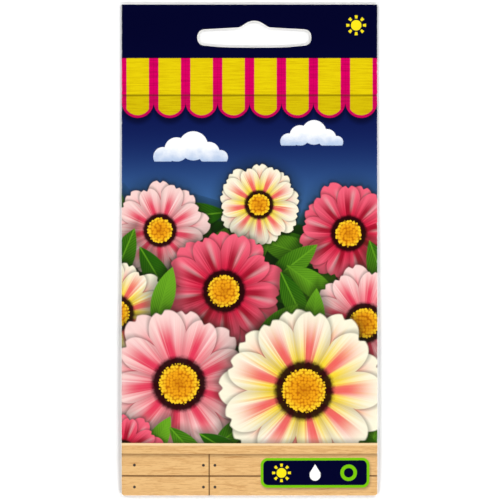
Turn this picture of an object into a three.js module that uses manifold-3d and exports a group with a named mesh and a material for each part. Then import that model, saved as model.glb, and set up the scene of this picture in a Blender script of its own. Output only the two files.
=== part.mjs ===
// A flat paper seed packet lying on its back, with loose seeds inside, in millimetres.
// X runs across its width, Y up towards the header with the hang slot, and Z out of its printed front.
// The origin is at the middle of the packet's outline, on the surface that it lies on.
import * as THREE from "three";
import { mergeVertices } from "three/addons/utils/BufferGeometryUtils.js";
import Module from "manifold-3d";

// Packet, as folded and filled
const WIDTH = 80;
const HEIGHT = 153.7;
const SHEET = 0.15; // thickness of the coated paper
const GLUE_GAP = 0.05; // between one glued layer and the next
const LAYER = SHEET + GLUE_GAP;
const EDGE_GAP = 0.3; // beside the edge of a covering layer, before the covered one comes down to its level

// Folds: the sheet goes round the sides once, and the front runs on round the bottom
const FOLD_STEPS = 4;
const SIDE_FOLD_RADIUS = LAYER;
const BOTTOM_FOLD_RADIUS = 1.5 * LAYER;

// Lap seam, along the back near its left side as seen from the front
const LAP_INNER_EDGE = -24;
const LAP_OUTER_EDGE = -36;
const LAP_STEP = 2; // width over which the covered layer comes down beside the covering one

// Bottom flap, glued on to the outside of the back
const FLAP_LENGTH = 12;
const FLAP_INSET = 0.8; // how much narrower than the front it is on each side, at the fold
const FLAP_TAPER = 0.25; // and how much narrower it grows for each millimetre of its length
const FLAP_STEP = 6; // length over which the back comes down beyond the flap

// Belly, where the packet is full, and the header that is pressed flat above it
const BELLY_RISE = 2.4; // of the front above the back, at the fullest place
const BELLY_AT = 30; // height of that place above the bottom edge
const BELLY_TOP = 122; // height where the two panels meet again
const HEADER_BOTTOM = 134;
const EDGE_LIFT = 0.6; // how far the sides of the back lift off the surface beside the belly
const FLAT_BACK = 14; // the back lies flat this far to each side of the middle

// Hang slot, a euro slot through both layers of the header; depths are below the top edge
const SLOT_WIDTH = 36;
const SLOT_CENTRE_X = 1.5;
const SLOT_BUMP_TOP = 4.7;
const SLOT_BUMP_FOOT = 5.4; // half width of the bump where it meets the wings
const SLOT_WING_TOP = 6.9; // beside the bump
const SLOT_WING_DROP = 0.6; // how much lower the wings' top is at their ends
const SLOT_BOTTOM = 13.5; // in the middle
const SLOT_BOTTOM_RISE = 0.6; // how much higher the bottom is at its ends
const SLOT_CORNER = 2.5;
const SLOT_CURVE_STEPS = 8;
const PUNCH_LENGTH = 4;

// Faces of the folded sheet's grid: across each layer, and down the packet
const ACROSS = { lap: 4, lapStep: 3, front: 16, back: 14 };
const DOWN = { header: 2, belly: 15, flapStep: 3, overFlap: 4, flap: 3 };

// Seeds: gazania achenes, wedge-shaped, thick at the top and pointed at the foot
const SEED_COUNT = 8;
const SEED_LENGTH = 4.6;
const SEED_WIDTH = 1.7;
const SEED_THICKNESS = 1.35;
const SEED_CLEARANCE = 0.3; // above the inside of the back
const SEED_SIDES = 10;
const SEED_SPREAD = 4.3; // grows with the square root of the seed's place in the heap
const SEED_HEAP = new THREE.Vector2(-3, 35); // the heap's middle: across, and above the bottom edge
const GOLDEN_ANGLE = Math.PI * (3 - Math.sqrt(5));

const { smoothstep } = THREE.MathUtils;
const flapStepStart = FLAP_LENGTH + EDGE_GAP;
const flapStepEnd = flapStepStart + FLAP_STEP;
const lapStepStart = LAP_OUTER_EDGE - EDGE_GAP;
const lapStepEnd = lapStepStart - LAP_STEP;

function steps(from, to, count) {
  return Array.from({ length: count + 1 }, (_, i) => from + ((to - from) * i) / count);
}

// How full the packet is at a height above its bottom edge, from 0 to 1.
function fullness(y) {
  if (y <= BELLY_AT) return 1 - (1 - y / BELLY_AT) ** 2;
  if (y >= BELLY_TOP) return 0;
  return (1 + Math.cos((Math.PI * (y - BELLY_AT)) / (BELLY_TOP - BELLY_AT))) / 2;
}

// Heights of the middle of the sheet's thickness above the surface, for each layer.
function backHeight(x, y) {
  const outward = Math.max(0, (Math.abs(x) - FLAT_BACK) / (WIDTH / 2 - FLAT_BACK));
  const lift = EDGE_LIFT * fullness(y) * outward ** 2;
  const overFlap = LAYER * (1 - smoothstep(y, flapStepStart, flapStepEnd));
  return SHEET / 2 + lift + overFlap;
}

function coveredHeight(x, y) {
  return backHeight(x, y) + LAYER * smoothstep(x, lapStepEnd, lapStepStart);
}

function frontHeight(x, y) {
  const rise = BELLY_RISE * fullness(y) * (1 - ((2 * x) / WIDTH) ** 2);
  return backHeight(x, y) + 2 * SIDE_FOLD_RADIUS + rise;
}

// The sheet's columns, from the covered edge of the lap seam, round the left fold, across the front,
// round the right fold and across the back to the covering edge. Each gives a point at height y.
const foldX = WIDTH / 2 - SHEET / 2 - SIDE_FOLD_RADIUS;
const foldAngles = steps(0, Math.PI, FOLD_STEPS).slice(1, -1);
const onSheet = (x, height) => ({ x, at: (y) => new THREE.Vector3(x, y, height(x, y)) });
const onFold = (side, angle) => ({
  at: (y) =>
    new THREE.Vector3(
      side * (foldX + SIDE_FOLD_RADIUS * Math.sin(angle)),
      y,
      backHeight(side * foldX, y) + SIDE_FOLD_RADIUS * (1 + side * Math.cos(angle)),
    ),
});
const covered = [
  ...steps(LAP_INNER_EDGE, lapStepStart, ACROSS.lap),
  ...steps(lapStepStart, lapStepEnd, ACROSS.lapStep).slice(1),
  -foldX,
];
const front = steps(-foldX, foldX, ACROSS.front);
const covering = steps(foldX, LAP_OUTER_EDGE, ACROSS.back);
const columns = [
  ...covered.map((x) => onSheet(x, coveredHeight)),
  ...foldAngles.map((angle) => onFold(-1, angle)),
  ...front.map((x) => onSheet(x, frontHeight)),
  ...foldAngles.map((angle) => onFold(1, angle)),
  ...covering.map((x) => onSheet(x, backHeight)),
];
const firstFront = covered.length + foldAngles.length;
const lastFront = firstFront + front.length - 1;

// The sheet's rows, from the top edge down to the bottom fold, and then on the front alone round the
// fold and along the flap.
const bottomFold = SHEET / 2 + BOTTOM_FOLD_RADIUS; // the fold's centre, above the edge and the surface alike
const panelRows = [
  HEIGHT,
  ...steps(HEADER_BOTTOM, BELLY_TOP, DOWN.header),
  ...steps(BELLY_TOP, flapStepEnd, DOWN.belly).slice(1),
  ...steps(flapStepEnd, flapStepStart, DOWN.flapStep).slice(1),
  ...steps(flapStepStart, bottomFold, DOWN.overFlap).slice(1),
].map((y) => (column) => column.at(y));

function flapPoint(column, roundFold, y, height) {
  const inset = roundFold * FLAP_INSET + Math.max(0, y - bottomFold) * FLAP_TAPER;
  return new THREE.Vector3(column.x * (1 - inset / foldX), y, height);
}
const flapRows = [
  ...steps(0, Math.PI, FOLD_STEPS)
    .slice(1)
    .map((angle) => (column) => {
      const y = bottomFold - BOTTOM_FOLD_RADIUS * Math.sin(angle);
      const height = bottomFold + BOTTOM_FOLD_RADIUS * Math.cos(angle);
      return flapPoint(column, angle / Math.PI, y, height);
    }),
  ...steps(bottomFold, FLAP_LENGTH, DOWN.flap)
    .slice(1)
    .map((y) => (column) => flapPoint(column, 1, y, SHEET / 2)),
];
const rows = [...panelRows, ...flapRows];

// The middle surface of the folded sheet: a plane's grid, moved to its folded place, without the cells
// beside the flap.
function foldedSurface() {
  const wide = columns.length - 1;
  const high = rows.length - 1;
  const grid = new THREE.PlaneGeometry(1, 1, wide, high);
  const isFront = (i) => i >= firstFront && i <= lastFront;
  const place = grid.attributes.position;
  rows.forEach((row, j) =>
    columns.forEach((column, i) => {
      if (j < panelRows.length || isFront(i)) place.setXYZ(j * columns.length + i, ...row(column));
    }),
  );
  const corners = Array.from(grid.index.array);
  const kept = [];
  for (let k = 0; k < corners.length; k += 3) {
    const triangle = corners.slice(k, k + 3);
    const exists = triangle.every(
      (corner) => corner < panelRows.length * columns.length || isFront(corner % columns.length),
    );
    if (exists) kept.push(...triangle);
  }
  grid.setIndex(kept);
  return bare(grid.toNonIndexed());
}

// Only positions, with shared corners merged.
function bare(geometry) {
  const positions = new THREE.BufferGeometry();
  positions.setAttribute("position", geometry.getAttribute("position"));
  if (geometry.index) positions.setIndex(geometry.index);
  return mergeVertices(positions, 1e-4);
}

// A closed sheet of the given thickness about a surface.
function thicken(surface, thickness) {
  surface.computeVertexNormals();
  const { position, normal } = surface.attributes;
  const count = position.count;
  const both = new Float32Array(count * 6);
  const point = new THREE.Vector3();
  const out = new THREE.Vector3();
  for (let k = 0; k < count; k++) {
    out.fromBufferAttribute(normal, k).multiplyScalar(thickness / 2);
    point.fromBufferAttribute(position, k).add(out).toArray(both, 3 * k);
    point.fromBufferAttribute(position, k).sub(out).toArray(both, 3 * (k + count));
  }
  const corners = Array.from(surface.index.array);
  const faces = [];
  const edges = new Map();
  for (let k = 0; k < corners.length; k += 3) {
    const [a, b, c] = corners.slice(k, k + 3);
    faces.push(a, b, c, c + count, b + count, a + count);
    [[a, b], [b, c], [c, a]].forEach(([from, to]) => {
      if (!edges.delete(`${to},${from}`)) edges.set(`${from},${to}`, [from, to]);
    });
  }
  for (const [from, to] of edges.values())
    faces.push(to, from, from + count, to, from + count, to + count);
  const sheet = new THREE.BufferGeometry();
  sheet.setAttribute("position", new THREE.BufferAttribute(both, 3));
  sheet.setIndex(faces);
  return sheet;
}

function slotOutline() {
  const end = SLOT_WIDTH / 2;
  const wingEnd = SLOT_WING_TOP + SLOT_WING_DROP;
  const bottomEnd = SLOT_BOTTOM - SLOT_BOTTOM_RISE;
  const middle = (wingEnd + bottomEnd) / 2;
  const bulge = SLOT_BOTTOM + SLOT_BOTTOM_RISE; // a quadratic curve reaches half way to this
  const footPull = 0.67 * SLOT_BUMP_FOOT;
  const topPull = 0.5 * SLOT_BUMP_FOOT;
  const outline = new THREE.Shape();
  outline.moveTo(-end, -middle);
  outline.quadraticCurveTo(-end, -bottomEnd, -end + SLOT_CORNER, -bottomEnd);
  outline.quadraticCurveTo(0, -bulge, end - SLOT_CORNER, -bottomEnd);
  outline.quadraticCurveTo(end, -bottomEnd, end, -middle);
  outline.quadraticCurveTo(end, -wingEnd, end - SLOT_CORNER, -wingEnd);
  outline.lineTo(SLOT_BUMP_FOOT, -SLOT_WING_TOP);
  outline.bezierCurveTo(footPull, -SLOT_WING_TOP, topPull, -SLOT_BUMP_TOP, 0, -SLOT_BUMP_TOP);
  const leftFoot = [-SLOT_BUMP_FOOT, -SLOT_WING_TOP];
  outline.bezierCurveTo(-topPull, -SLOT_BUMP_TOP, -footPull, -SLOT_WING_TOP, ...leftFoot);
  outline.lineTo(-end + SLOT_CORNER, -wingEnd);
  outline.quadraticCurveTo(-end, -wingEnd, -end, -middle);
  return outline;
}

function paperPacket(wasm) {
  const sheet = solid(wasm, thicken(foldedSurface(), SHEET));
  const punch = new THREE.ExtrudeGeometry(slotOutline(), {
    depth: PUNCH_LENGTH,
    bevelEnabled: false,
    curveSegments: SLOT_CURVE_STEPS,
  });
  punch.translate(SLOT_CENTRE_X, HEIGHT, -PUNCH_LENGTH / 2);
  return fromSolid(sheet.subtract(solid(wasm, punch)));
}

function solid(wasm, geometry) {
  const merged = bare(geometry);
  return new wasm.Manifold(
    new wasm.Mesh({
      numProp: 3,
      vertProperties: merged.attributes.position.array,
      triVerts: new Uint32Array(merged.index.array),
    }),
  );
}

function fromSolid(made) {
  const { vertProperties, triVerts } = made.getMesh();
  const geometry = new THREE.BufferGeometry();
  geometry.setAttribute("position", new THREE.BufferAttribute(vertProperties, 3));
  geometry.setIndex(new THREE.BufferAttribute(triVerts, 1));
  geometry.computeVertexNormals();
  return geometry;
}

// One seed, lying along X: a lathed drop, flattened a little.
function seedGeometry() {
  const half = SEED_LENGTH / 2;
  const profile = [
    [0, -half],
    [0.24, -0.92 * half],
    [0.55, -0.5 * half],
    [0.86, 0.1 * half],
    [1, 0.55 * half],
    [0.72, 0.9 * half],
    [0, half],
  ].map(([share, along]) => new THREE.Vector2((share * SEED_WIDTH) / 2, along));
  const seed = new THREE.LatheGeometry(profile, SEED_SIDES);
  seed.rotateZ(-Math.PI / 2);
  seed.scale(1, 1, SEED_THICKNESS / SEED_WIDTH);
  return bare(seed);
}

const wasm = await Module();
wasm.setup();

const packet = new THREE.Group();
const coatedPaper = new THREE.MeshStandardMaterial({ color: 0x10184a, roughness: 0.35, metalness: 0 });
const paper = new THREE.Mesh(paperPacket(wasm), coatedPaper);
paper.name = "paper_packet";
packet.add(paper);

const seedCoat = new THREE.MeshStandardMaterial({ color: 0x8a6f4d, roughness: 0.9, metalness: 0 });
for (let k = 0; k < SEED_COUNT; k++) {
  const seed = new THREE.Mesh(seedGeometry(), seedCoat);
  const turn = k * GOLDEN_ANGLE;
  const away = SEED_SPREAD * Math.sqrt(k + 0.5);
  seed.name = `seed_${k + 1}`;
  seed.position.set(
    SEED_HEAP.x + away * Math.cos(turn),
    SEED_HEAP.y + away * Math.sin(turn),
    SHEET + SEED_CLEARANCE + SEED_THICKNESS / 2,
  );
  seed.rotation.z = 2 * turn;
  packet.add(seed);
}
packet.position.y = -HEIGHT / 2;

const part = new THREE.Group();
part.add(packet);

export default part;
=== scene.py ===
import math

import bpy
import numpy as np
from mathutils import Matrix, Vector
from mathutils.geometry import interpolate_bezier


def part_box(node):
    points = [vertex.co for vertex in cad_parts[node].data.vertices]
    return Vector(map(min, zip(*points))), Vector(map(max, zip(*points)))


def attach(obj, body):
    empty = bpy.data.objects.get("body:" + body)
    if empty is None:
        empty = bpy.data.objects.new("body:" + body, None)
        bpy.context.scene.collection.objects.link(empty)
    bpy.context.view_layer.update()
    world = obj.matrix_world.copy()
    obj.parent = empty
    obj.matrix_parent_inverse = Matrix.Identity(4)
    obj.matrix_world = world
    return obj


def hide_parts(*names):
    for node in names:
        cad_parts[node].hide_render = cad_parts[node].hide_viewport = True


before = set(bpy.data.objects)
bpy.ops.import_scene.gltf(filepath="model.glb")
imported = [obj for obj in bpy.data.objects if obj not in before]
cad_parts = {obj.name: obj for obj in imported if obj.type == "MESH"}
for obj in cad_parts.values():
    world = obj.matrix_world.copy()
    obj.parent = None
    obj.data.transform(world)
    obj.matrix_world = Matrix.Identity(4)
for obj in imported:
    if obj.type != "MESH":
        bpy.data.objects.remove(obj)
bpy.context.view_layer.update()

# ---------------------------------------------------------------------------------------------------
# Studio: the packet lies on its back on a large white table, lit evenly by four softboxes that stand
# round it, and the camera hangs straight above it with the header at the top of the picture.
# ---------------------------------------------------------------------------------------------------
PACKET_LOW, PACKET_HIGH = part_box("paper_packet")
PACKET_WIDTH = PACKET_HIGH.x - PACKET_LOW.x
PACKET_HEIGHT = PACKET_HIGH.y - PACKET_LOW.y
PACKET_DEPTH = PACKET_HIGH.z - PACKET_LOW.z
PICTURE_SIDE = 500  # pixels
PACKET_IN_PICTURE = 490.6  # pixels of its height
PACKET_LEFT_OF_MIDDLE = 0.5  # pixels
LENS, SENSOR = 150, 36
NEAREST_SEEN = 0.01
TABLE_SIDE, TABLE_WHITE, TABLE_ROUGHNESS, TABLE_GLOSS = 4, 0.97, 0.9, 0.1
SKY_GLOW = ((0, 0.45), (0.75, 0.012))  # how bright the room is, from the horizon upwards
SOFTBOX_AWAY, SOFTBOX_UP, SOFTBOX_SIDE, SOFTBOX_WATTS = 1.38, 0.68, 0.6, 14.6
SOFTBOXES = ((45, 1), (135, 0.85), (225, 1), (315, 1.15))  # degrees round, share of the power

seen = PACKET_HEIGHT * PICTURE_SIDE / PACKET_IN_PICTURE
camera_height = seen * LENS / SENSOR
bpy.ops.object.camera_add(
    location=(PACKET_LEFT_OF_MIDDLE * seen / PICTURE_SIDE, 0, camera_height), rotation=(0, 0, 0)
)
camera = bpy.context.object
camera.name = "camera"
camera.data.lens = LENS
camera.data.sensor_width = SENSOR
camera.data.clip_start = NEAREST_SEEN
bpy.context.scene.camera = camera

bpy.ops.mesh.primitive_plane_add(size=TABLE_SIDE, location=(0, 0, 0))
table = bpy.context.object
table.name = "table"
table_paint = bpy.data.materials.new("white table")
table_paint.use_nodes = True
table_shader = table_paint.node_tree.nodes["Principled BSDF"]
table_shader.inputs["Base Color"].default_value = (TABLE_WHITE, TABLE_WHITE, TABLE_WHITE, 1)
table_shader.inputs["Roughness"].default_value = TABLE_ROUGHNESS
table_shader.inputs["Specular IOR Level"].default_value = TABLE_GLOSS
table.data.materials.append(table_paint)

sky = bpy.data.worlds.new("studio")
sky.use_nodes = True
bpy.context.scene.world = sky
sky_nodes, sky_links = sky.node_tree.nodes, sky.node_tree.links
direction = sky_nodes.new("ShaderNodeTexCoord")
upward = sky_nodes.new("ShaderNodeSeparateXYZ")
fade = sky_nodes.new("ShaderNodeValToRGB")
for stop, (height, glow) in zip(fade.color_ramp.elements, SKY_GLOW):
    stop.position, stop.color = height, (glow, glow, glow, 1)
sky_links.new(direction.outputs["Generated"], upward.inputs["Vector"])
sky_links.new(upward.outputs["Z"], fade.inputs["Fac"])
sky_links.new(fade.outputs["Color"], sky_nodes["Background"].inputs["Color"])
bpy.context.scene.view_settings.view_transform = "Standard"

for number, (turn, share) in enumerate(SOFTBOXES):
    around = math.radians(turn)
    place = Vector((math.cos(around) * SOFTBOX_AWAY, math.sin(around) * SOFTBOX_AWAY, SOFTBOX_UP))
    bpy.ops.object.light_add(type="AREA", location=place)
    softbox = bpy.context.object
    softbox.name = f"softbox_{number + 1}"
    softbox.data.size = SOFTBOX_SIDE
    softbox.data.energy = SOFTBOX_WATTS * share
    softbox.visible_glossy = False  # crossed polarisers keep their glare off the ink
    softbox.rotation_euler = (-place).to_track_quat("-Z", "Y").to_euler()

# ---------------------------------------------------------------------------------------------------
# The packet: one sheet of coated paper, printed flat, folded round both sides and lapped and glued
# down its back, with a flap of the front turned up over the bottom and glued to the back. The header
# is pressed flat and a euro slot is punched through both its layers.
# ---------------------------------------------------------------------------------------------------
MM = 0.001
SHEET = 0.15 * MM  # the paper's thickness
LAYER = 0.2 * MM  # the paper with a little air under it
SIDE_RADIUS = LAYER
BOTTOM_RADIUS = 1.5 * LAYER
FOLD_STEPS = 6
LAP_INNER_X, LAP_OUTER_X, LAP_STEP = -24 * MM, -36 * MM, 2 * MM
FLAP_LENGTH, FLAP_INSET, FLAP_TAPER, FLAP_STEP = 12 * MM, 0.8 * MM, 0.25, 6 * MM
EDGE_GAP = 0.3 * MM
BELLY_RISE, BELLY_AT, BELLY_TOP = 2.4 * MM, 30 * MM, 122 * MM
EDGE_LIFT, FLAT_BACK = 0.6 * MM, 14 * MM
SHEET_STEP = 1.1 * MM  # spacing of the sheet's grid

fold_x = PACKET_WIDTH / 2 - SHEET / 2 - SIDE_RADIUS
bottom_fold = SHEET / 2 + BOTTOM_RADIUS
side_chord = 2 * SIDE_RADIUS * math.sin(math.pi / 2 / FOLD_STEPS)
bottom_chord = 2 * BOTTOM_RADIUS * math.sin(math.pi / 2 / FOLD_STEPS)
side_turn = FOLD_STEPS * side_chord
bottom_turn = FOLD_STEPS * bottom_chord
blank_left = -fold_x - side_turn - (fold_x + LAP_INNER_X)
blank_right = fold_x + side_turn + (fold_x - LAP_OUTER_X)
blank_low = bottom_fold - bottom_turn - (FLAP_LENGTH - bottom_fold)
blank_high = PACKET_HEIGHT


def select_vertices(piece, mask):
    """Goes to edit mode with just the vertices selected where the mask is true."""
    bpy.ops.object.mode_set(mode="OBJECT")
    piece.data.polygons.foreach_set("select", np.zeros(len(piece.data.polygons), bool))
    piece.data.edges.foreach_set("select", np.zeros(len(piece.data.edges), bool))
    piece.data.vertices.foreach_set("select", mask)
    bpy.ops.object.mode_set(mode="EDIT")


def points(piece):
    """Where the vertices are, a row for each."""
    found = np.empty(len(piece.data.vertices) * 3, np.float32)
    piece.data.vertices.foreach_get("co", found)
    return found.reshape(-1, 3).astype(float)


def smoothstep(low, high, value):
    """Goes smoothly from 0 at the low value to 1 at the high one."""
    share = np.clip((value - low) / (high - low), 0, 1)
    return share * share * (3 - 2 * share)


bpy.ops.object.select_all(action="DESELECT")
bpy.ops.mesh.primitive_grid_add(
    size=1,
    x_subdivisions=round((blank_right - blank_left) / SHEET_STEP),
    y_subdivisions=round((blank_high - blank_low) / SHEET_STEP),
)
sheet = bpy.context.object
sheet.name = "packet_sheet"
sheet.scale = (blank_right - blank_left, blank_high - blank_low, 1)
sheet.location = ((blank_left + blank_right) / 2, (blank_low + blank_high) / 2, 0)
bpy.ops.object.transform_apply(location=True, rotation=True, scale=True)

# Creases across the blank where it will bend, and at the edges of what is covered.
crease_x = [side * (fold_x + step * side_chord) for side in (-1, 1) for step in range(FOLD_STEPS + 1)]
crease_y = [bottom_fold - step * bottom_chord for step in range(FOLD_STEPS + 1)]
crease_y += [FLAP_LENGTH, FLAP_LENGTH + EDGE_GAP]
covered_edge = blank_left + LAP_INNER_X - LAP_OUTER_X
crease_x += [covered_edge, covered_edge + EDGE_GAP]
bpy.ops.object.mode_set(mode="EDIT")
for x in crease_x:
    bpy.ops.mesh.select_all(action="SELECT")
    bpy.ops.mesh.bisect(plane_co=(x, 0, 0), plane_no=(1, 0, 0))
for y in crease_y:
    bpy.ops.mesh.select_all(action="SELECT")
    bpy.ops.mesh.bisect(plane_co=(0, y, 0), plane_no=(0, 1, 0))
bpy.ops.object.mode_set(mode="OBJECT")

# The blank is cut to a T: below the bottom crease only the flap of the front stays, and it narrows
# as it turns up, so that its sides stay inside the packet's.
HAIR = 1e-7  # less than any real distance on the sheet
flat = points(sheet)
select_vertices(sheet, (flat[:, 1] < bottom_fold - HAIR) & (abs(flat[:, 0]) > fold_x + HAIR))
bpy.ops.mesh.delete(type="VERT")
bpy.ops.object.mode_set(mode="OBJECT")
flat = points(sheet)
for row in np.unique(flat[flat[:, 1] < bottom_fold - HAIR, 1].round(7)):
    turned = min((bottom_fold - row) / bottom_turn, 1)
    inset = FLAP_INSET * turned + FLAP_TAPER * max(bottom_fold - bottom_turn - row, 0)
    select_vertices(sheet, abs(flat[:, 1] - row) < HAIR)
    bpy.ops.transform.resize(value=(1 - inset / fold_x, 1, 1), center_override=(0, 0, 0))
    bpy.ops.object.mode_set(mode="OBJECT")

# Which print each face carries. The strip that the lap covers has glue on it, and the inside and the
# cut edges are bare paper.
FRONT, BACK, FLAP, COVERED, BARE = range(5)
front_edge = fold_x + side_turn
front_foot = bottom_fold - bottom_turn
for face in sheet.data.polygons:
    if face.center.y < front_foot:
        face.material_index = FLAP
    elif face.center.x < covered_edge:
        face.material_index = COVERED
    elif abs(face.center.x) > front_edge:
        face.material_index = BACK

# The map that the finished packet's print is kept in, laid out on the flat blank: the front fills
# the left of it and the back the right, with the flap, the covered strip and the bare paper in low
# bands beneath. Each area is left, right, low, high, in shares of the map.
MAP_MARGIN = 0.003
MAP_FRONT = (MAP_MARGIN, 0.56, MAP_MARGIN, 1 - MAP_MARGIN)
MAP_BACK = (0.566, 1 - MAP_MARGIN, 0.13, 1 - MAP_MARGIN)
MAP_FLAP = (0.566, 1 - MAP_MARGIN, 0.085, 0.125)
MAP_COVERED = (0.566, 1 - MAP_MARGIN, 0.05, 0.08)
MAP_INSIDES = ((0.566, 0.7, 0.003, 0.045), (0.706, 0.84, 0.003, 0.045))
MAP_CUT_EDGES = (0.846, 1 - MAP_MARGIN, 0.003, 0.045)


def on_map(area, across, along):
    """Where shares from 0 to 1 of a surface's width and height lie in its area of the map."""
    left, right, low, high = area
    return left + (right - left) * across, low + (high - low) * along


chart = sheet.data.uv_layers[0]
chart.name = "OFBake"
for face in sheet.data.polygons:
    for corner in face.loop_indices:
        at = sheet.data.vertices[sheet.data.loops[corner].vertex_index].co
        across, up = at.x / front_edge, (at.y - front_foot) / (PACKET_HEIGHT - front_foot)
        if face.material_index == FRONT:
            spot = on_map(MAP_FRONT, (1 + across) / 2, up)
        elif face.material_index == FLAP:
            spot = on_map(MAP_FLAP, (1 + across) / 2, (front_foot - at.y) / (front_foot - blank_low))
        elif face.material_index == COVERED:
            spot = on_map(MAP_COVERED, (at.x - blank_left) / (LAP_INNER_X - LAP_OUTER_X), up)
        else:
            folded = math.copysign(1, across) * (2 - abs(across))
            spot = on_map(MAP_BACK, (1 - folded) / 2, up)
        chart.data[corner].uv = spot


def crease(piece, beyond, axis, centre, angle):
    """Turns the part of the sheet beyond a crease about it."""
    select_vertices(piece, beyond)
    bpy.ops.transform.rotate(value=angle, orient_axis=axis, orient_type="GLOBAL", center_override=centre)
    bpy.ops.object.mode_set(mode="OBJECT")


flat = points(sheet)
for step in reversed(range(FOLD_STEPS + 1)):
    angle = math.pi / FOLD_STEPS / (2 if step in (0, FOLD_STEPS) else 1)
    for side in (-1, 1):
        x = side * (fold_x + step * side_chord)
        crease(sheet, side * flat[:, 0] > abs(x) + HAIR, "Y", (x, 0, 0), -side * angle)
    y = bottom_fold - step * bottom_chord
    crease(sheet, flat[:, 1] < y - HAIR, "X", (0, y, 0), -angle)


def raise_by(piece, heights):
    """Lifts each vertex by its own height."""
    most = float(heights.max())
    group = piece.vertex_groups.new(name="height")
    for number in np.flatnonzero(heights):
        group.add([int(number)], float(heights[number]) / most, "REPLACE")
    lift = piece.modifiers.new("lift", "DISPLACE")
    lift.direction, lift.strength, lift.mid_level, lift.vertex_group = "Z", most, 0, group.name
    bpy.ops.object.modifier_apply(modifier=lift.name)
    piece.vertex_groups.clear()


# The packet is full of air and seeds low down, and its two panels come together above: the front
# arches, the back's sides lift a little off the table, and the seeds and the handling show faintly.
x, y, _ = points(sheet).T
on_front = (abs(flat[:, 0]) < fold_x + HAIR) & (flat[:, 1] > bottom_fold - HAIR)
on_flap = flat[:, 1] < bottom_fold - HAIR
on_covered = flat[:, 0] < -fold_x - side_turn - HAIR
fullness = np.where(
    y < BELLY_AT,
    1 - (1 - y / BELLY_AT) ** 2,
    (1 + np.cos(math.pi * np.clip((y - BELLY_AT) / (BELLY_TOP - BELLY_AT), 0, 1))) / 2,
)
arch = np.clip(1 - (2 * x / PACKET_WIDTH) ** 2, 0, 1)
outward = np.clip((abs(x) - FLAT_BACK) / (PACKET_WIDTH / 2 - FLAT_BACK), 0, 1)
over_flap = 1 - smoothstep(FLAP_LENGTH + EDGE_GAP, FLAP_LENGTH + EDGE_GAP + FLAP_STEP, y)
under_lap = smoothstep(LAP_OUTER_X - EDGE_GAP - LAP_STEP, LAP_OUTER_X - EDGE_GAP, x)
heights = SHEET / 2 + 2 * SIDE_RADIUS + LAYER * over_flap + EDGE_LIFT * fullness * outward**2 * ~on_flap
heights += LAYER * under_lap * on_covered
heights += BELLY_RISE * fullness * arch * on_front

# The front sinks over the heap of seeds and rises again over each one, so the packet grows no thicker.
SEED_BUMP, SEED_BUMP_REACH = 0.22 * MM, 2.4 * MM
HEAP_X, HEAP_Y, HEAP_REACH = -3 * MM, 35 * MM, 15 * MM
heights -= SEED_BUMP * np.exp(-(((x - HEAP_X) ** 2 + (y - HEAP_Y) ** 2) / HEAP_REACH**2)) * on_front
seed_names = sorted(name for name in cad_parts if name.startswith("seed_"))
for name in seed_names:
    low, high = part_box(name)
    seed_x, seed_y = (low.x + high.x) / 2, (low.y + high.y) / 2 + PACKET_HEIGHT / 2
    away = np.hypot(x - seed_x, y - seed_y)
    heights += SEED_BUMP * np.exp(-((away / SEED_BUMP_REACH) ** 2)) * on_front

# Where the front is slack it has shallow dents, which only lower it.
DENT, DENT_SIZE = 0.13 * MM, 26 * MM
waves = np.sin(2 * math.pi * (0.9 * x + 0.5 * y) / DENT_SIZE + 1.3) * np.sin(
    2 * math.pi * (0.35 * x - 0.8 * y) / DENT_SIZE + 0.4
)
heights += DENT * (waves - 1) * fullness * arch**2 * on_front

# Slack in the front gathers into short soft creases that run up from the bottom corners.
PUCKER, PUCKER_WIDTH, PUCKER_LENGTH, PUCKER_FOOT = 0.1 * MM, 1.1 * MM, 17 * MM, 5 * MM
PUCKERS = ((-1, 31, 1.1), (1, 30, 0.9), (-1, 35, 2.3), (1, 34.5, 1.9))  # side, start, slope
for side, start, slope in PUCKERS:
    along = (y - PUCKER_FOOT) / PUCKER_LENGTH
    across = side * x - start * MM + (y - PUCKER_FOOT) / slope
    ridge = np.exp(-((across / PUCKER_WIDTH) ** 2)) * np.clip(4 * along * (1 - along), 0, 1)
    heights += PUCKER * ridge * on_front
raise_by(sheet, heights)

# From here on the packet's middle is at the origin, as in the frame.
bpy.ops.object.select_all(action="DESELECT")
sheet.select_set(True)
bpy.context.view_layer.objects.active = sheet
sheet.location.y = -PACKET_HEIGHT / 2
bpy.ops.object.transform_apply(location=True)

wall = sheet.modifiers.new("paper", "SOLIDIFY")
wall.thickness, wall.offset, wall.use_even_offset = SHEET, 0, True
wall.material_offset = wall.material_offset_rim = BARE
for name in ("front print", "back print", "flap print", "glued strip", "bare paper"):
    sheet.data.materials.append(bpy.data.materials.new(name))
bpy.ops.object.modifier_apply(modifier=wall.name)

# The euro slot: a long slit with round ends, its wings sloping down a little and its foot bowed,
# and a raised bump over its middle for a single peg. Depths are from the packet's top edge.
SLOT_X, SLOT_HALF, SLOT_END = 1.5 * MM, 17.85 * MM, 2.7 * MM
BUMP_TOP, BUMP_FOOT, WING_TOP, WING_DROP = 5.1 * MM, 5.4 * MM, 7.2 * MM, 0.55 * MM
SLOT_BOTTOM, SLOT_BOTTOM_RISE = 13.5 * MM, 0.6 * MM
SLOT_CURVE_POINTS = 14
PUNCH_LENGTH = 4 * MM
ROUND = 2 / 3  # how far a round end's handles reach towards its square corner
SMOOTH_ANGLE = 40


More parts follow.
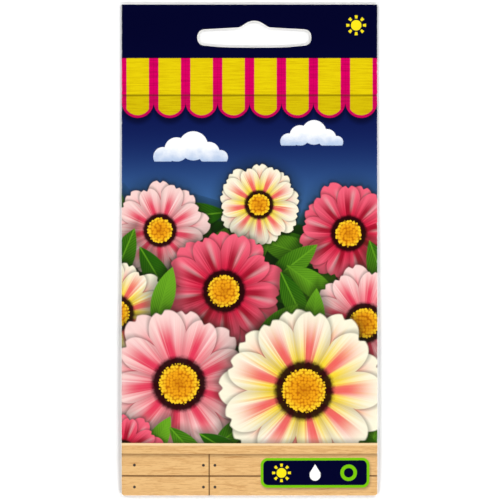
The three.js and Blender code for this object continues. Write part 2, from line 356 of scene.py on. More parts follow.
def slot_outline():
    """The right half, from the middle of the foot up to the bump's top, then the left half."""
    wing_end, foot_end = WING_TOP + WING_DROP, SLOT_BOTTOM - SLOT_BOTTOM_RISE
    inner, middle = SLOT_HALF - SLOT_END, (wing_end + foot_end) / 2
    right = []
    for start, start_pull, end_pull, end in (
        ((0, SLOT_BOTTOM), (inner / 2, SLOT_BOTTOM), (inner * ROUND, SLOT_BOTTOM), (inner, foot_end)),
        ((inner, foot_end), *pulls(inner, foot_end, middle), (SLOT_HALF, middle)),
        ((SLOT_HALF, middle), *reversed(pulls(inner, wing_end, middle)), (inner, wing_end)),
        ((BUMP_FOOT, WING_TOP), (0.67 * BUMP_FOOT, WING_TOP), (0.5 * BUMP_FOOT, BUMP_TOP), (0, BUMP_TOP)),
    ):
        curve = interpolate_bezier(
            *(Vector((*point, 0)) for point in (start, start_pull, end_pull, end)), SLOT_CURVE_POINTS
        )
        right += [(p.x, p.y) for p in curve if not right or (Vector(right[-1]) - p.xy).length > HAIR]
    left = [(-across, depth) for across, depth in reversed(right[1:-1])]
    return [(SLOT_X + across, PACKET_HEIGHT / 2 - depth) for across, depth in right + left]


def pulls(inner, edge, middle):
    """The handles of a round end, from its edge to the middle of the end."""
    return (inner + (SLOT_HALF - inner) * ROUND, edge), (SLOT_HALF, middle + (edge - middle) * ROUND)


outline = slot_outline()
bpy.ops.mesh.primitive_circle_add(vertices=len(outline), radius=SLOT_HALF, fill_type="NGON")
punch = bpy.context.object
for material in sheet.data.materials:
    punch.data.materials.append(material)
for vertex, (across, up) in zip(punch.data.vertices, outline):
    vertex.co = (across, up, -PUNCH_LENGTH / 2)
bpy.ops.object.mode_set(mode="EDIT")
bpy.ops.mesh.select_all(action="SELECT")
bpy.ops.mesh.extrude_region_move(TRANSFORM_OT_translate={"value": (0, 0, PUNCH_LENGTH)})
bpy.ops.mesh.select_all(action="SELECT")
bpy.ops.mesh.normals_make_consistent(inside=False)
bpy.ops.object.mode_set(mode="OBJECT")
for face in punch.data.polygons:
    face.material_index = BARE
punch.select_set(False)
sheet.select_set(True)
bpy.context.view_layer.objects.active = sheet
cut = sheet.modifiers.new("slot", "BOOLEAN")
cut.operation, cut.object, cut.solver, cut.material_mode = "DIFFERENCE", punch, "MANIFOLD", "TRANSFER"
bpy.ops.object.modifier_apply(modifier=cut.name)
bpy.data.objects.remove(punch)


def portion(value, low, high):
    """How far the value has come from low to high, from 0 to 1."""
    return min(max((value - low) / (high - low), 0), 1)


# The punch leaves bare paper round the slot. The inside of each panel and the cut edges get their
# own areas of the map.
chart = sheet.data.uv_layers["OFBake"]
half_width, half_height = PACKET_WIDTH / 2, PACKET_HEIGHT / 2
half_round = half_width + half_height
for face in sheet.data.polygons:
    if face.material_index != BARE:
        continue
    on_edge = abs(face.normal.z) < 0.5
    for corner in face.loop_indices:
        at = sheet.data.vertices[sheet.data.loops[corner].vertex_index].co
        if on_edge:
            area = MAP_CUT_EDGES
            across, along = portion(at.x + at.y, -half_round, half_round), portion(at.z, 0, PACKET_DEPTH)
        else:
            area = MAP_INSIDES[face.normal.z > 0]
            across = portion(at.x, -half_width, half_width)
            along = portion(at.y, -half_height, half_height)
        chart.data[corner].uv = on_map(area, across, along)
bpy.ops.object.shade_smooth_by_angle(angle=math.radians(SMOOTH_ANGLE))


class Ink:
    """A socket of a paper's shader, with the arithmetic that its print is worked out in."""

    def __init__(self, tree, socket):
        self.tree, self.socket = tree, socket

    def node(self, kind, sockets=(), output=0, stops=(), easing="LINEAR", **settings):
        """Adds a node: its settings first, then the values or inks of its sockets."""
        made = self.tree.nodes.new("ShaderNode" + kind)
        for name, value in settings.items():
            setattr(made, name, value)
        if stops:
            made.color_ramp.interpolation = easing
        for number, (at, colour) in enumerate(stops):
            stop = made.color_ramp.elements[number] if number < 2 else made.color_ramp.elements.new(at)
            stop.position, stop.color = at, colour
        for name, value in sockets.items() if isinstance(sockets, dict) else enumerate(sockets):
            if isinstance(value, Ink):
                self.tree.links.new(value.socket, made.inputs[name])
            else:
                made.inputs[name].default_value = value
        return Ink(self.tree, made.outputs[output])

    def beside(self, name):
        """Another output of the same node."""
        return Ink(self.tree, self.socket.node.outputs[name])

    def maths(self, operation, *others):
        """A Math node of this number and the others."""
        return self.node("Math", (self, *others), operation=operation)

    def vectors(self, operation, *others, output=0):
        """A Vector Math node of this vector and the others."""
        return self.node("VectorMath", (self, *others), output, operation=operation)

    def away_from(self, x, y):
        """How far this place is from a point of the print."""
        return self.vectors("DISTANCE", (x, y, 0), output="Value")

    def length(self):
        """How long this vector is."""
        return self.vectors("LENGTH", output="Value")

    def parts(self):
        """The three numbers of a vector or a colour."""
        first = self.node("SeparateColor" if self.socket.type == "RGBA" else "SeparateXYZ", (self,))
        return [Ink(self.tree, output) for output in first.socket.node.outputs]

    def __add__(self, other):
        return self.maths("ADD", other)

    def __sub__(self, other):
        return self.maths("SUBTRACT", other)

    def __mul__(self, other):
        return self.maths("MULTIPLY", other)

    def __truediv__(self, other):
        return self.maths("DIVIDE", other)

    def __rsub__(self, other):
        return self.node("Math", (other, self), operation="SUBTRACT")

    def __abs__(self):
        return self.maths("ABSOLUTE")

    __radd__, __rmul__ = __add__, __mul__


def smooth(value, low, high):
    """Goes from 0 where the value is low to 1 where it is high."""
    return value.node("MapRange", (value, low, high, 0, 1), interpolation_type="SMOOTHSTEP", clamp=False)


def over(under, colour, mask):
    """A colour laid over another where the mask is 1."""
    return mask.node("Mix", {0: mask, 6: under, 7: colour}, 2, data_type="RGBA")


def noise(place, scale, detail=2, roughness=0.5):
    """Cloudy patches between 0 and 1, as many to a millimetre as the scale says."""
    sockets = {"Vector": place, "Scale": scale, "Detail": detail, "Roughness": roughness}
    return place.node("TexNoise", sockets, noise_dimensions="2D")


def stretched(place, along_x, along_y):
    """The place with its two measures multiplied, which draws a pattern out along the smaller."""
    return place.node("Mapping", {"Vector": place, "Scale": (along_x, along_y, 1)})


def paint(red, green, blue):
    """A colour given in the 0 to 255 of a screen, as the linear light that a shader takes."""
    shares = [value / 255 for value in (red, green, blue)]
    return (*[c / 12.92 if c < 0.04045 else ((c + 0.055) / 1.055) ** 2.4 for c in shares], 1)


def start_print(name, side=1):
    """The material's shader and the place on the packet in millimetres, up from its bottom edge and
    rightwards as seen from the front, or from behind where the side is -1."""
    material = bpy.data.materials[name]
    material.use_nodes = True
    tree = material.node_tree
    shader = tree.nodes["Principled BSDF"]
    start = Ink(tree, tree.nodes.new("ShaderNodeTexCoord").outputs["Object"])
    spread = {"Location": (0, PACKET_HEIGHT / 2 / MM, 0), "Scale": (side / MM, 1 / MM, 0)}
    return shader, start.node("Mapping", {"Vector": start, **spread})


def spots(place, circles, soft=0.1):
    """A mask of round spots, each (x, y, radius)."""
    nearest = None
    for x, y, radius in circles:
        away = place.away_from(x, y) - radius
        nearest = away if nearest is None else away.maths("MINIMUM", nearest)
    return smooth(nearest, soft, -soft)


def block(place, x, y, width, height, corner, soft=0.1):
    """A mask of a rectangle with rounded corners, about its middle."""
    offset = place.vectors("SUBTRACT", (x, y, 0)).vectors("ABSOLUTE")
    beyond = offset.vectors("SUBTRACT", (width / 2 - corner, height / 2 - corner, 0))
    return smooth(beyond.vectors("MAXIMUM", (0, 0, 0)).length(), corner + soft, corner - soft)


def coat(shader, place, colour, roughness):
    """Finishes a paper: its colour, a roughness that is faintly uneven, and the tooth of the sheet."""
    ripple = noise(place, 0.9, 3, 0.6)
    tooth = noise(place, 6, 4, 0.6)
    place.tree.links.new(colour.socket, shader.inputs["Base Color"])
    uneven = roughness + 0.06 * (ripple - 0.5) + 0.05 * (tooth - 0.5)
    place.tree.links.new(uneven.socket, shader.inputs["Roughness"])
    relief = place.node("Bump", {"Strength": 0.12, "Distance": 0.03 * MM, "Height": ripple + 0.4 * tooth})
    place.tree.links.new(relief.socket, shader.inputs["Normal"])


# The front's print, from the back of its picture to the front: an evening sky that darkens into the
# header, two clouds, flower heads in four rows with leaves between them, an awning, a planter and a
# small plaque. Places and sizes on the print are in millimetres.
shader, place = start_print("front print")
x, y, _ = place.parts()
NAVY, SKY_TOP = paint(2, 3, 40), paint(12, 19, 74)
SKY_MIDDLE, SKY_LOW = paint(24, 45, 106), paint(78, 130, 186)
SKY = [(0.54, SKY_LOW), (0.66, SKY_MIDDLE), (0.77, SKY_TOP), (0.86, NAVY)]  # share of the height, ink
colour = y.node("ValToRGB", (y / (PACKET_HEIGHT / MM),), stops=SKY, easing="B_SPLINE")

CLOUD, CLOUD_SHADE, CLOUD_HEIGHT = paint(250, 251, 253), paint(176, 196, 226), 7.5
CLOUDS = ((-19, 104.5, 0.95), (19, 109.5, 0.8))  # x, y, size
PUFFS = ((-8.5, 1.6, 3.2), (-4, 4, 4), (1.5, 5.2, 4.8), (6.6, 2.9, 3.6), (10.5, 1.4, 2.4))
for cloud_x, cloud_y, size in CLOUDS:
    billow = spots(place, [(cloud_x + px * size, cloud_y + py * size, r * size) for px, py, r in PUFFS])
    flat_foot = billow * smooth(y, cloud_y - 0.1, cloud_y + 0.2)
    rise = (y - cloud_y) / (CLOUD_HEIGHT * size) + 0.5 * (noise(place, 0.35) - 0.5)
    colour = over(colour, over(CLOUD_SHADE, CLOUD, smooth(rise, -0.1, 0.75)), flat_foot)

LEAF_DARK, LEAF, LEAF_LIGHT = paint(36, 88, 12), paint(68, 132, 18), paint(104, 164, 34)
LEAF_SHADOW, UNDERGROWTH, UNDERGROWTH_TOP = (0.004, 0.016, 0.003, 1), paint(28, 68, 14), 94


def blade(under, right, up, lean, tone, length, width, light, grows=1):
    """A lance-shaped leaf about the place that right and up are counted from, with its shadow."""
    cosine, sine = lean.maths("COSINE"), lean.maths("SINE")
    across, along = right * cosine - up * sine, (right * sine + up * cosine) / length
    aside = abs(across)
    reach = aside / width + along * along
    rib = (along * length - 1.5 * aside) * 5
    light_side = 0.12 * rib.maths("SINE") + 0.1 * smooth(across, -0.2, 0.2)
    green = over(LEAF_DARK, light, smooth(tone + 0.25 * along + light_side, 0, 1.2))
    green = over(green, light, smooth(aside, 0.35, 0.1) * 0.7)
    under = over(under, LEAF_SHADOW, smooth(reach, 2.2, 0.9) * grows * 0.6)
    return over(under, green, smooth(reach, 1.06, 0.94) * grows)


def leaves(under, place, cell, length, width, highest, light, seed):
    """Leaves that overlap as they like, one in each cell of a scattered pattern."""
    x, y, _ = place.parts()
    moved_x, moved_y = seed * 31.7, seed * 17.3
    moved = place.node("Mapping", {"Vector": place, "Location": (moved_x, moved_y, 0)})
    cells = {"Vector": moved, "Scale": 1 / cell, "Randomness": 0.85}
    chance = moved.node("TexVoronoi", cells, "Color", voronoi_dimensions="2D")
    lean, tone, _ = chance.parts()
    middle_x, middle_y, _ = chance.beside("Position").parts()
    right, up = x + moved_x - middle_x, y + moved_y - middle_y
    grows = smooth(middle_y, highest + moved_y + 1, highest + moved_y - 1)
    return blade(under, right, up, (lean - 0.5) * 3.4, tone, length, width, light, grows)


FAR_LEFT = 60  # keeps places positive, because a colour socket holds nothing below zero
NOWHERE = 99  # further from a leaf or a flower head, in its own sizes, than anything printed


def sprigs(under, place, length, width, spread):
    """Whole leaves, each (x, y, lean); where two cross, the later one lies on top."""
    x, y, _ = place.parts()
    nearest, spot = NOWHERE, (0, 0, 0, 1)
    for leaf_x, leaf_y, lean in spread:
        fitted = {"Location": (leaf_x, leaf_y, 0), "Rotation": (0, 0, -lean), "Scale": (width, length, 1)}
        aside, along, _ = place.node("Mapping", {"Vector": place, **fitted}, vector_type="TEXTURE").parts()
        reach = abs(aside) + along * along
        on_top = reach.maths("LESS_THAN", reach.node("Math", (nearest, 1), operation="MAXIMUM"))
        nearest = nearest + on_top * (reach - nearest)
        spot = over(spot, (leaf_x + FAR_LEFT, leaf_y, lean, 1), on_top)
    middle_x, middle_y, lean = spot.parts()
    phase = middle_x * 5 + middle_y
    tone = 0.5 + 0.4 * phase.maths("SINE")
    return blade(under, x + FAR_LEFT - middle_x, y - middle_y, lean, tone, length, width, LEAF_LIGHT)


undergrowth = smooth(y + 9 * noise(place, 0.09, 3), UNDERGROWTH_TOP, UNDERGROWTH_TOP - 5)
colour = over(colour, UNDERGROWTH, undergrowth)
colour = leaves(colour, place, 12, 9.5, 3.1, 90, LEAF, 1)
colour = leaves(colour, place, 15, 11.5, 4.2, 93, LEAF_LIGHT, 2)

# Sizes on a flower head are shares of its radius.
PETALS = 9
PETAL_FOLD, PETAL_SHEEN = (0.1, 0.012, 0.02, 1), (0.95, 0.93, 0.9, 1)
PETAL_SHADOW = (0.012, 0.012, 0.006, 1)


def petals(under, angle, away, head, length, shift, inner, outer, flush):
    """A ring of rounded petals with a nick in each tip, streaked from the middle outwards."""
    turns = angle * (PETALS / 2 / math.pi) + shift
    petal = turns.maths("ROUND")
    number = petal.maths("FLOORED_MODULO", PETALS)
    key = number * 3.7 + head * 17 + shift * 5.3
    chance, tone, lean = key.node("TexWhiteNoise", {"W": key}, "Color", noise_dimensions="1D").parts()
    across = turns - petal + 0.14 * (lean - 0.5) * away
    sideways = 2 * abs(across)
    nick = 0.05 * smooth(abs(across + 0.1 * (tone - 0.5)), 0.1, 0)
    tip = length * (1 + 0.12 * (chance - 0.5) - 0.3 * sideways.maths("POWER", 2.6)) - nick
    vein = across * 13 + number * 7.3 + head * 5 + away * 0.8
    fibre = vein.node("TexNoise", {"W": vein, "Scale": 1, "Detail": 3}, noise_dimensions="1D")
    fade = smooth(away + 0.35 * (fibre - 0.5) + 0.12 * (tone - 0.5), 0.3, 0.85)
    petal_colour = over(inner, outer, fade)
    band = smooth(sideways + 0.5 * (fibre - 0.5), 0.55, 0.2) * smooth(away, 0.95, 0.5)
    petal_colour = over(petal_colour, flush, band * 0.88)
    fold = smooth(sideways, 0.55, 1) * 0.5 + smooth(away, 0.5, 0.25) * 0.25 + 0.2 * (1 - fibre)
    petal_colour = over(petal_colour, PETAL_FOLD, fold * (0.3 + 0.4 * tone))
    sheen = smooth(abs(across + 0.16), 0.14, 0) * smooth(away, 0.35, 0.6) * smooth(away, 0.95, 0.75)
    petal_colour = over(petal_colour, PETAL_SHEEN, sheen * 0.22)
    under = over(under, PETAL_SHADOW, smooth(away - tip, 0.11, -0.01) * 0.5)
    return over(under, petal_colour, smooth(away - tip, 0.014, -0.014))


# Each way of colouring a flower head: its petals near the middle, at their tips, and down their
# centre lines.
INNER = [(0, paint(250, 218, 48)), (0.34, paint(242, 128, 138)), (0.67, paint(214, 30, 66))]
OUTER = [(0, paint(250, 244, 218)), (0.34, paint(250, 214, 208)), (0.67, paint(242, 98, 122))]
FLUSH = [(0, paint(236, 66, 92)), (0.34, paint(226, 36, 78)), (0.67, paint(150, 8, 34))]
CREAM, PINK, CRIMSON = 0.1, 0.5, 0.9
THROAT, THROAT_SHADE, HEAD_SHADOW = paint(34, 7, 10), (0.02, 0.004, 0.002, 1), (0.006, 0.012, 0.003, 1)
FLORET_DARK, FLORET, FLORET_RIM = paint(176, 92, 6), paint(236, 160, 22), paint(250, 204, 40)
FLORETS_TO_A_MM = 1.05


def flower_heads(under, place, heads):
    """Flower heads, each (x, y, radius, turn, way of colouring); where two meet the nearer one shows."""
    across, height, _ = place.parts()
    nearest, spot, kind = NOWHERE, (0, 0, 0, 1), (0, 0, 0, 1)
    for x, y, radius, turn, way in heads:
        away = place.away_from(x, y) / radius
        closer = away.maths("LESS_THAN", nearest)
        nearest = away.maths("MINIMUM", nearest)
        spot = over(spot, (x + FAR_LEFT, y, 0, 1), closer)
        kind = over(kind, (turn, way, 0, 1), closer)
    middle_x, middle_y, _ = spot.parts()
    turn, way, _ = kind.parts()
    away = nearest
    angle = (height - middle_y).maths("ARCTAN2", across + FAR_LEFT - middle_x) + turn
    inner, outer, flush = [
        way.node("ValToRGB", (way,), stops=stops, easing="CONSTANT") for stops in (INNER, OUTER, FLUSH)
    ]
    under = over(under, HEAD_SHADOW, smooth(away, 1.3, 0.75) * 0.65)
    under = petals(under, angle, away, turn, 1.0, 0.5, inner, outer, flush)
    under = petals(under, angle, away, turn, 0.93, 0.0, inner, outer, flush)
    wobble = 0.035 * noise(place, 1.1)
    under = over(under, THROAT, smooth(away + wobble, 0.41, 0.34) * 0.98)
    florets = {"Vector": place, "Scale": FLORETS_TO_A_MM, "Randomness": 0.7}
    floret = place.node("TexVoronoi", florets, "Distance", voronoi_dimensions="2D")
    button = over(FLORET, FLORET_RIM, smooth(away, 0.15, 0.24))
    button = over(button, FLORET_DARK, smooth(floret, 0.25, 0.75) * 0.85)
    button = over(button, FLORET_DARK, smooth(away, 0.12, 0.03) * 0.45)
    under = over(under, THROAT_SHADE, smooth(away, 0.33, 0.25) * 0.6)
    return over(under, button, smooth(away + 0.05 * floret, 0.285, 0.265))


BACK_ROW = [(-28, 83, 15, 0.2, PINK), (3, 91, 13, 0.9, CREAM), (31, 82, 16, 0.5, CRIMSON)]
MIDDLE_ROW = [(-42, 57, 17, 0.4, CREAM), (-8, 64, 19, 0.1, CRIMSON), (36, 54, 18, 0.7, PINK)]
NEAR_ROW = [(-22, 35, 24, 0.3, PINK)]
FRONT_ROW = [(17, 33, 26, 0.0, CREAM), (-40, 13, 13, 0.8, CRIMSON)]
BEHIND_MIDDLE = [(-29, 69, 2.6), (-40, 74, 0.4), (13, 72, 0.9), (20, 66, 2.2), (41, 70, 2.8)]
BEHIND_NEAR = [(-27, 62, 0.3), (14, 61, 2.7), (8, 53, 0.8), (20, 55, 0.1), (40, 36, 1.2)]
BEHIND_FRONT = [(-5, 20, 0.9), (-8, 15, 2.1), (-29, 17, 0.5), (-19, 15, 2.4), (40, 24, 0.2), (36, 16, 2.4)]
colour = flower_heads(colour, place, BACK_ROW)
colour = sprigs(colour, place, 10.5, 3.8, BEHIND_MIDDLE)
colour = flower_heads(colour, place, MIDDLE_ROW)
colour = sprigs(colour, place, 10, 3.5, BEHIND_NEAR)
colour = flower_heads(colour, place, NEAR_ROW)
colour = sprigs(colour, place, 9, 3.2, BEHIND_FRONT)
colour = flower_heads(colour, place, FRONT_ROW)

# The awning: yellow cloth with crimson stripes, scalloped along its hem, and its shadow on the sky.
AWNING_TOP, SCALLOP_Y, SCALLOP, VALANCE_Y, STRIPE, SHADOW_DROP = 136.9, 123.2, 5, 125.3, 1.5, 1.6
YELLOW, YELLOW_SHADE = paint(230, 206, 10), paint(206, 176, 4)
CRIMSON_CLOTH, CRIMSON_SHADE = paint(217, 0, 96), paint(168, 0, 72)
AWNING_SHADOW, VALANCE_SHADE = (0.001, 0.001, 0.006, 1), (0.03, 0.012, 0, 1)
scallop_x = (x + 4 * SCALLOP).maths("FLOORED_MODULO", 2 * SCALLOP) - SCALLOP
hem = x.node("CombineXYZ", (scallop_x, (y - SCALLOP_Y).maths("MINIMUM", 0), 0)).length()
shadow_y = (y - SCALLOP_Y + SHADOW_DROP).maths("MINIMUM", 0)
cast = x.node("CombineXYZ", (scallop_x, shadow_y, 0)).length()
under_top = smooth(y, AWNING_TOP + 0.1, AWNING_TOP - 0.1)
colour = over(colour, AWNING_SHADOW, smooth(cast, SCALLOP + 1.2, SCALLOP - 0.8) * under_top * 0.6)
threads = smooth(noise(stretched(place, 0.12, 2.6), 1, 4, 0.65), 0.35, 0.75)
sag = abs(scallop_x) / SCALLOP
cloth = over(YELLOW, YELLOW_SHADE, threads * 0.8 + sag * 0.15)
stripe = smooth(abs(scallop_x), SCALLOP - STRIPE - 0.1, SCALLOP - STRIPE + 0.1)
trim = smooth(hem, SCALLOP - 0.95, SCALLOP - 0.75)
red = over(CRIMSON_CLOTH, CRIMSON_SHADE, threads * 0.7)
cloth = over(cloth, red, stripe.maths("MAXIMUM", trim))
valance = smooth(abs(y - VALANCE_Y), 0.55, 0.05) * 0.5 + smooth(y, VALANCE_Y + 0.1, VALANCE_Y - 0.1) * 0.16
cloth = over(cloth, VALANCE_SHADE, valance)
colour = over(colour, cloth, smooth(hem, SCALLOP + 0.08, SCALLOP - 0.08) * under_top)

# The planter: tan boards under a lip, grained along their length, nailed beside each joint.
PLANTER_TOP, LIP_FOOT, BOARD_GAP_Y, BOARD_JOINT_X = 16.5, 13.2, 6.2, -12.6
NAIL_X, NAIL_Y, NAIL = (-36, -14.4, -10.8), (2.7, 9.6), 0.45
TAN, TAN_DARK, TAN_LIGHT = paint(230, 186, 126), paint(190, 134, 76), paint(250, 222, 176)
JOINT_DARK, NAIL_IRON, PLANTER_SHADOW = paint(84, 50, 22), paint(66, 58, 54), (0.004, 0.01, 0.002, 1)
grain = noise(stretched(place, 0.1, 1.6), 1, 4, 0.6)
rings = (grain * 26 + y * 1.3).maths("SINE")
board = over(TAN, TAN_DARK, smooth(rings, 0.1, 1.1) * 0.45 + 0.5 * smooth(grain, 0.45, 0.8))
under_lip = smooth(y, LIP_FOOT, LIP_FOOT - 0.2)
board = over(board, JOINT_DARK, smooth(abs(y - BOARD_GAP_Y), 0.35, 0.1) * under_lip * 0.9)
board = over(board, JOINT_DARK, smooth(abs(x - BOARD_JOINT_X), 0.3, 0.08) * under_lip * 0.9)
lip_shade = smooth(y, LIP_FOOT - 1.6, LIP_FOOT) * smooth(y, LIP_FOOT + 0.1, LIP_FOOT - 0.1)
board = over(board, JOINT_DARK, lip_shade * 0.55)
nails = [(nail_x, nail_y, NAIL) for nail_x in NAIL_X for nail_y in NAIL_Y]
board = over(board, NAIL_IRON, spots(place, nails))
board = over(board, TAN_LIGHT, smooth(abs(y - PLANTER_TOP + 0.4), 0.5, 0.2) * 0.7)
colour = over(colour, PLANTER_SHADOW, smooth(y, PLANTER_TOP + 2.2, PLANTER_TOP - 0.4) * 0.55)
colour = over(colour, board, smooth(y, PLANTER_TOP + 0.1, PLANTER_TOP - 0.1))

# The plaque: a dark plate with a lime rim and three plain signs: a sun, a drop and a ring.
PLAQUE_X, PLAQUE_Y, PLAQUE_WIDTH, PLAQUE_HEIGHT, PLAQUE_CORNER = 20.5, 7.2, 34, 9.4, 2.2
RIM, PLATE_CORNER = 0.8, 1.5
LIME, LEMON, WHITE = paint(119, 193, 9), paint(247, 226, 28), paint(250, 250, 248)
PLAQUE_SHADOW = (0.01, 0.006, 0.002, 1)
cast = block(place, PLAQUE_X + 0.3, PLAQUE_Y - 0.5, PLAQUE_WIDTH, PLAQUE_HEIGHT, PLAQUE_CORNER, 0.8)
rim = block(place, PLAQUE_X, PLAQUE_Y, PLAQUE_WIDTH, PLAQUE_HEIGHT, PLAQUE_CORNER)
plate = block(
    place, PLAQUE_X, PLAQUE_Y, PLAQUE_WIDTH - 2 * RIM, PLAQUE_HEIGHT - 2 * RIM, PLATE_CORNER
)
colour = over(colour, PLAQUE_SHADOW, cast * 0.55)
colour = over(colour, LIME, rim)
colour = over(colour, NAVY, plate)


def sun_sign(place, x, y, size):
    """A disc in a ring of eight short rays."""
    across, height, _ = place.parts()
    away = place.away_from(x, y) / size
    turn = 8 * (height - y).maths("ARCTAN2", across - x)
    rays = smooth(turn.maths("COSINE"), 0.1, 0.45) * smooth(abs(away - 0.84), 0.19, 0.13)
    return rays + smooth(away, 0.56, 0.5)


def drop_sign(place, x, y, size):
    """A round drop with a pointed top."""
    across, height, _ = place.parts()
    right, up = across - x, height - y
    taper = smooth(abs(right) - 0.62 * (2.06 * size - up), 0.08, -0.08)
    taper = taper * smooth(up, 0.3 * size, 0.42 * size)
    return spots(place, [(x, y, size)]).maths("MAXIMUM", taper)


SIGN_STEP, SUN, DROP, RING, RING_HOLE = 10.5, 2.9, 1.7, 2.6, 1.5
HEADER_SUN_X, HEADER_SUN_Y, HEADER_SUN = 33.4, 147.2, 3.1
ring_x = PLAQUE_X + SIGN_STEP
ring = spots(place, [(ring_x, PLAQUE_Y, RING)]) - spots(place, [(ring_x, PLAQUE_Y, RING_HOLE)])
colour = over(colour, LEMON, sun_sign(place, PLAQUE_X - SIGN_STEP, PLAQUE_Y, SUN))
colour = over(colour, WHITE, drop_sign(place, PLAQUE_X, PLAQUE_Y - 0.8, DROP))
colour = over(colour, LIME, ring)
colour = over(colour, LEMON, sun_sign(place, HEADER_SUN_X, HEADER_SUN_Y, HEADER_SUN))

RUBBED_INK, COATED_ROUGHNESS = paint(226, 226, 230), 0.3


def rub_folds(place, colour):
    """Handling has rubbed the ink thin on the side folds here and there."""
    x, _, _ = place.parts()
    fold = PACKET_WIDTH / 2 / MM
    patches = smooth(noise(place, 0.5, 4, 0.7), 0.52, 0.62)
    return over(colour, RUBBED_INK, smooth(abs(x), fold - 0.2, fold - 0.06) * patches * 0.4)


coat(shader, place, rub_folds(place, colour), COATED_ROUGHNESS)

# The back's print, as seen from behind: a cream page under the dark header, with a round picture, two
# calendar rows, three signs, and plain bars where such a packet has its sowing notes.
CREAM_PAGE, CREAM_SHADE = paint(243, 239, 224), paint(237, 232, 214)
BAR_GREY, EMPTY_CELL, ROSE = paint(92, 96, 112), paint(206, 207, 188), paint(240, 96, 140)
BACK_ROUGHNESS = 0.28
HEADER_FOOT, FRAME_Y, FRAME_WIDTH, FRAME_HEIGHT, FRAME_CORNER = 134, 73, 72, 117.4, 3
ROUNDEL_X, ROUNDEL_Y, ROUNDEL, ROUNDEL_RIM = -19, 113, 13.4, 1
ROUNDEL_HEADS = [(-20, 114.5, 9.5, 0.2, PINK), (-11, 104.5, 6, 0.6, CREAM)]
LETTER, NOTES_RIGHT = 1.7, 34
NOTES = (  # ink, left, low, high, pitch
    (CRIMSON_CLOTH, -1, 119, 123.5, 4.5),
    (BAR_GREY, -1, 102.4, 117, 2.9),
    (BAR_GREY, -32, 17, 56, 3.1),
)


def note_bars(place, left, right, low, high, pitch):
    """A mask of short bars in rows, as long as words, each row ending where it likes."""
    x, y, _ = place.parts()
    rows = (y - low) / pitch
    row = rows.maths("FLOOR")
    run = x / LETTER + row * 13.7
    letter = run.maths("FLOOR")
    word = run.node("TexWhiteNoise", {"W": letter}, "Value", noise_dimensions="1D")
    end = row.node("TexWhiteNoise", {"W": row + 0.5}, "Value", noise_dimensions="1D")
    space = smooth(abs(run - letter - 0.25), 0.26, 0.2) * smooth(word, 0.42, 0.4)
    inked = smooth(abs(rows - row - 0.5), 0.22, 0.16) * (1 - space)
    inked = inked * smooth(x, left - 0.1, left + 0.1) * smooth(x - right + 9 * end, 0.1, -0.1)
    return inked * smooth(y, low, low + 0.1) * smooth(y, high + 0.1, high)


shader, place = start_print("back print", -1)
x, y, _ = place.parts()
colour = over(CREAM_PAGE, CREAM_SHADE, noise(place, 0.06))
frame_edge = block(place, 0, FRAME_Y, FRAME_WIDTH, FRAME_HEIGHT, FRAME_CORNER)
page = block(place, 0, FRAME_Y, FRAME_WIDTH - 2 * RIM, FRAME_HEIGHT - 2 * RIM, FRAME_CORNER - RIM)
colour = over(colour, LIME, frame_edge - page)
picture = over(SKY_MIDDLE, SKY_LOW, smooth(y, ROUNDEL_Y + 9, ROUNDEL_Y - 7))
picture = leaves(picture, place, 9, 7, 2.4, ROUNDEL_Y, LEAF, 5)
picture = flower_heads(picture, place, ROUNDEL_HEADS)
colour = over(colour, LIME, spots(place, [(ROUNDEL_X, ROUNDEL_Y, ROUNDEL + ROUNDEL_RIM)]))
colour = over(colour, picture, spots(place, [(ROUNDEL_X, ROUNDEL_Y, ROUNDEL)]))
for ink, left, low, high, pitch in NOTES:
    colour = over(colour, ink, note_bars(place, left, NOTES_RIGHT, low, high, pitch))

CELLS, CELL, ROW_LEFT = 12, 5.3, -31.8
CALENDAR = ((90.5, 2, 4, LIME), (83.5, 5, 9, ROSE))  # y, first and last filled cell, ink
number = (x - ROW_LEFT) / CELL
cell = number.maths("FLOOR")
column = smooth(abs(number - cell - 0.5) * CELL, 2.4, 2.3)
column = column * smooth(abs(number - CELLS / 2), CELLS / 2 + 0.01, CELLS / 2)
for row_y, first, last, ink in CALENDAR:
    half_filled = (last - first) / 2 + 0.5
    filled = smooth(abs(cell - (first + last) / 2), half_filled + 0.1, half_filled - 0.1)
    colour = over(colour, over(EMPTY_CELL, ink, filled), column * smooth(abs(y - row_y), 2.7, 2.6))

BADGE_Y, BADGE, BADGE_STEP = 68.5, 7, 22
BADGE_SUN, BADGE_DROP, SEED_LEAF, STEM_WIDTH, STEM_LENGTH = 4.9, 2.7, 2.3, 0.9, 6
badges = spots(place, [(side * BADGE_STEP, BADGE_Y, BADGE) for side in (-1, 0, 1)])
sprout = [(BADGE_STEP - 3.1, BADGE_Y + 1.2, SEED_LEAF), (BADGE_STEP + 3.1, BADGE_Y + 2.4, SEED_LEAF)]
stem = block(place, BADGE_STEP, BADGE_Y - 1.2, STEM_WIDTH, STEM_LENGTH, 0.4)
colour = over(colour, NAVY, badges)
colour = over(colour, LEMON, sun_sign(place, -BADGE_STEP, BADGE_Y, BADGE_SUN))
colour = over(colour, WHITE, drop_sign(place, 0, BADGE_Y - 1.2, BADGE_DROP))
colour = over(colour, LIME, spots(place, sprout).maths("MAXIMUM", stem))
colour = over(colour, NAVY, smooth(y, HEADER_FOOT - 0.1, HEADER_FOOT + 0.1))
colour = over(colour, LEMON, smooth(abs(y - HEADER_FOOT), 0.55, 0.45))
coat(shader, place, rub_folds(place, colour), BACK_ROUGHNESS)

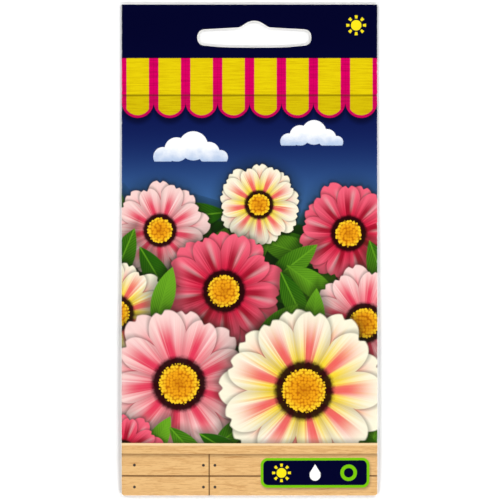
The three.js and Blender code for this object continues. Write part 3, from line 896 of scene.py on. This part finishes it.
# The flap keeps a little of the planter's boards where it turns up; the rest of it and the glued
# strip are only coated. The inside and the cut edges are plain paper with its fibres showing.
COATED, COATED_SHADE, BOARDS_ON_FLAP = paint(247, 246, 240), paint(239, 237, 228), 1.2
UNDER_GLUE, GLUE, GLUE_ROUGHNESS = paint(244, 243, 238), paint(225, 221, 200), 0.34
PAPER, FIBRE, PAPER_ROUGHNESS = paint(246, 245, 240), paint(222, 218, 208), 0.72
shader, place = start_print("flap print", -1)
x, y, _ = place.parts()
boards = smooth(y + 0.3 * noise(place, 1.5), BOARDS_ON_FLAP + 0.1, BOARDS_ON_FLAP - 0.1)
coat(shader, place, over(over(COATED, COATED_SHADE, noise(place, 0.3)), TAN, boards), COATED_ROUGHNESS)
shader, place = start_print("glued strip", -1)
glue = noise(stretched(place, 1, 0.25), 0.6, 3)
coat(shader, place, over(UNDER_GLUE, GLUE, smooth(glue, 0.45, 0.65)), GLUE_ROUGHNESS)
shader, place = start_print("bare paper")
fibres = noise(stretched(place, 1, 0.35), 5, 5, 0.7)
coat(shader, place, over(PAPER, FIBRE, smooth(fibres, 0.35, 0.8)), PAPER_ROUGHNESS)
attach(sheet, "root")
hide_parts("paper_packet")

# ---------------------------------------------------------------------------------------------------
# The seeds: loose gazania achenes, wedge-shaped, pointed at the foot and thick at the top, with
# lengthwise ribs under a coat of short silky hairs. They lie on the inside of the packet's back.
# ---------------------------------------------------------------------------------------------------
SEED_LENGTH, SEED_WIDTH, SEED_THICKNESS = 4.6 * MM, 1.7 * MM, 1.35 * MM
GOLDEN_ANGLE = math.pi * (3 - math.sqrt(5))
SEED_MERIDIANS, SEED_RINGS, RIB_DEPTH = 20, 14, 0.1
SEED_AT = (-1, -0.92, -0.5, 0.1, 0.55, 0.9, 1)  # along the half length, from the foot
SEED_GIRTH = (0, 0.24, 0.55, 0.86, 1, 0.72, 0)
HUSK_DARK, HUSK, SILK = paint(120, 84, 50), paint(176, 142, 98), paint(226, 210, 176)

bpy.ops.object.select_all(action="DESELECT")
bpy.ops.mesh.primitive_uv_sphere_add(
    segments=SEED_MERIDIANS, ring_count=SEED_RINGS, radius=1, rotation=(0, math.pi / 2, 0)
)
model = bpy.context.object
bpy.ops.object.transform_apply(location=False, rotation=True, scale=True)
ball = points(model)
for at in np.unique(ball[:, 0].round(5)):
    if abs(at) < 0.999:
        select_vertices(model, abs(ball[:, 0] - at) < 1e-4)
        girth = np.interp(at, SEED_AT, SEED_GIRTH) / math.sqrt(1 - at * at)
        bpy.ops.transform.resize(value=(1, girth, girth), center_override=(0, 0, 0))
bpy.ops.object.mode_set(mode="OBJECT")
meridian = np.arctan2(ball[:, 2], ball[:, 1]) * SEED_MERIDIANS / 2 / math.pi
select_vertices(model, (meridian.round() % 2 == 1) & (abs(ball[:, 0]) < 0.95))
bpy.ops.transform.resize(value=(1, 1 - RIB_DEPTH, 1 - RIB_DEPTH), center_override=(0, 0, 0))
bpy.ops.mesh.select_all(action="SELECT")
bpy.ops.transform.resize(
    value=(SEED_LENGTH / 2, SEED_WIDTH / 2, SEED_THICKNESS / 2), center_override=(0, 0, 0)
)
bpy.ops.object.mode_set(mode="OBJECT")
bpy.ops.object.shade_smooth()

seed_coat = bpy.data.materials.new("seed coat")
seed_coat.use_nodes = True
shader = seed_coat.node_tree.nodes["Principled BSDF"]
round_seed = Ink(seed_coat.node_tree, seed_coat.node_tree.nodes.new("ShaderNodeTexCoord").outputs["UV"])
hairs = noise(stretched(round_seed, 30, 1.6), 1, 4, 0.7)
husk = over(HUSK_DARK, HUSK, smooth(noise(round_seed, 5), 0.3, 0.7))
husk = over(husk, SILK, smooth(hairs, 0.48, 0.7) * 0.8)
seed_coat.node_tree.links.new(husk.socket, shader.inputs["Base Color"])
seed_coat.node_tree.links.new((0.72 + 0.2 * hairs).socket, shader.inputs["Roughness"])
relief = husk.node("Bump", {"Strength": 0.5, "Distance": 0.05 * MM, "Height": hairs})
seed_coat.node_tree.links.new(relief.socket, shader.inputs["Normal"])
model.data.materials.append(seed_coat)

for number, name in enumerate(seed_names):
    low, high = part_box(name)
    seed = model.copy()
    seed.data = model.data.copy()
    seed.name = f"silky_{name}"
    bpy.context.collection.objects.link(seed)
    seed.location = (low + high) / 2
    seed.rotation_euler.z = 2 * number * GOLDEN_ANGLE
    bpy.ops.object.select_all(action="DESELECT")
    seed.select_set(True)
    bpy.context.view_layer.objects.active = seed
    bpy.ops.object.transform_apply(location=True, rotation=True, scale=True)
    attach(seed, "root")
    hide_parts(name)
bpy.data.objects.remove(model)
